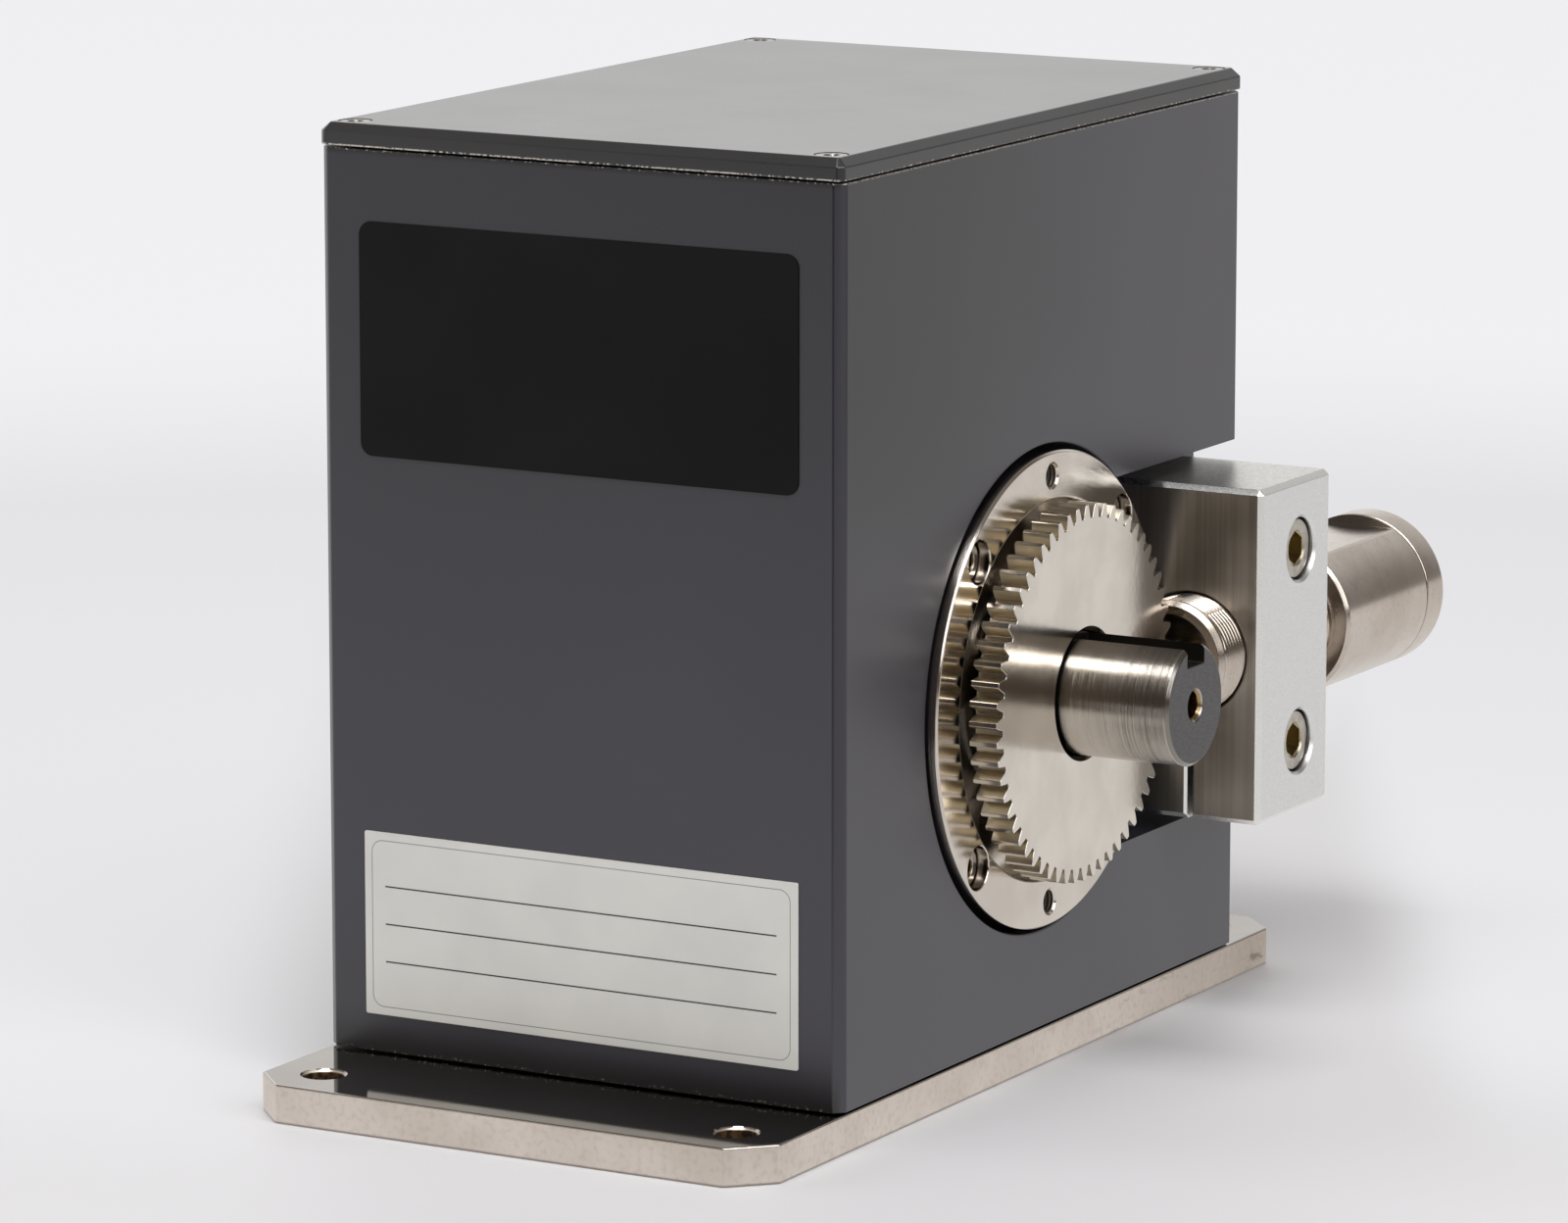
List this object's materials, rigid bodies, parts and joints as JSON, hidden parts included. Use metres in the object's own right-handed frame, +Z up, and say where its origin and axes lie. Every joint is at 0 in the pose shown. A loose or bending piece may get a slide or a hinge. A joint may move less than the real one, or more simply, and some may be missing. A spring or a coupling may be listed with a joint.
{
  "type": "rotary torque sensor",
  "caption": "Box housing on a base plate with a keyed torsion shaft through it, a toothed speed wheel outside and a threaded pickup held in a split block.",
  "frame": {"origin": "on the underside of the base plate, straight below the shaft axis and midway between the two shaft faces of the housing", "axes": "+X along the shaft, out of the geared end; +Z up, away from the base plate; +Y towards the pickup's connector"},
  "size_m": [0.1504, 0.2055, 0.1572],
  "materials": {
    "plate_nickel": "nickel-plated steel, satin sides and a bright top",
    "housing_paint": "dark grey satin coat, chipped to bright metal along its edges",
    "cover_paint": "dark grey satin coat",
    "flange_nickel": "polished nickel",
    "gear_nickel": "satin nickel plate",
    "shaft_steel": "ground steel, turned end faces",
    "screw_steel": "bright stainless steel",
    "bearing_steel": "ground bearing steel",
    "cage_steel": "pressed steel with ground balls",
    "block_aluminium": "bare milled aluminium, fine brushing",
    "pickup_steel": "satin stainless steel",
    "pole_brass": "turned",
    "insert_plastic": "moulded black",
    "board_resin": "green circuit board with parts"
  },
  "bodies": {
    "root": {"base_plate": "plate_nickel", "base_screw_1": "screw_steel", "base_screw_2": "screw_steel", "base_screw_3": "screw_steel", "base_screw_4": "screw_steel", "housing": "housing_paint", "top_cover": "cover_paint", "cover_screw_1": "screw_steel", "cover_screw_2": "screw_steel", "cover_screw_3": "screw_steel", "cover_screw_4": "screw_steel", "front_flange": "flange_nickel", "rear_flange": "flange_nickel", "front_flange_screw_1": "screw_steel", "front_flange_screw_2": "screw_steel", "front_flange_screw_3": "screw_steel", "front_flange_screw_4": "screw_steel", "rear_flange_screw_1": "screw_steel", "rear_flange_screw_2": "screw_steel", "rear_flange_screw_3": "screw_steel", "rear_flange_screw_4": "screw_steel", "clamp_block": "block_aluminium", "clamp_screw_1": "screw_steel", "clamp_screw_2": "screw_steel", "signal_connector_shell": "pickup_steel", "signal_connector_nut": "screw_steel", "signal_connector_insert": "insert_plastic", "front_bearing_outer_ring": "bearing_steel", "rear_bearing_outer_ring": "bearing_steel", "pickup_bracket": "block_aluminium", "bracket_screw_1": "screw_steel", "bracket_screw_2": "screw_steel", "front_twist_pickup": "pickup_steel", "rear_twist_pickup": "pickup_steel", "circuit_board": "board_resin", "board_screw_1": "screw_steel", "board_screw_2": "screw_steel", "board_screw_3": "screw_steel", "board_screw_4": "screw_steel"},
    "rotor": {"torsion_shaft": "shaft_steel", "front_bearing_inner_ring": "bearing_steel", "rear_bearing_inner_ring": "bearing_steel", "front_twist_gear": "gear_nickel", "rear_twist_gear": "gear_nickel", "front_spacer": "shaft_steel", "rear_spacer": "shaft_steel", "lock_nut": "screw_steel", "speed_gear": "gear_nickel", "gear_grub_screw_1": "screw_steel", "gear_grub_screw_2": "screw_steel"},
    "front_cage": {"front_bearing_ball_cage": "cage_steel"},
    "rear_cage": {"rear_bearing_ball_cage": "cage_steel"},
    "pickup": {"pickup_body": "pickup_steel", "pickup_pole": "pole_brass", "pickup_cap": "pickup_steel", "pickup_insert": "insert_plastic"}
  },
  "joints": [
    {"name": "shaft_spin", "type": "hinge", "parent": "root", "child": "rotor", "pos_m": [0, 0, 0.063], "axis": [1, 0, 0], "continuous": true},
    {"name": "front_cage_spin", "type": "hinge", "parent": "root", "child": "front_cage", "pos_m": [0.0347, 0, 0.063], "axis": [1, 0, 0], "continuous": true},
    {"name": "rear_cage_spin", "type": "hinge", "parent": "root", "child": "rear_cage", "pos_m": [-0.0347, 0, 0.063], "axis": [1, 0, 0], "continuous": true},
    {"name": "pickup_slide", "type": "slide", "parent": "root", "child": "pickup", "axis": [0, 1, 0], "range_m": [0, 0.0075]}
  ],
  "couplings": [
    {"joint": "front_cage_spin", "follows": "shaft_spin", "ratio": 0.407},
    {"joint": "rear_cage_spin", "follows": "shaft_spin", "ratio": 0.407}
  ]
}
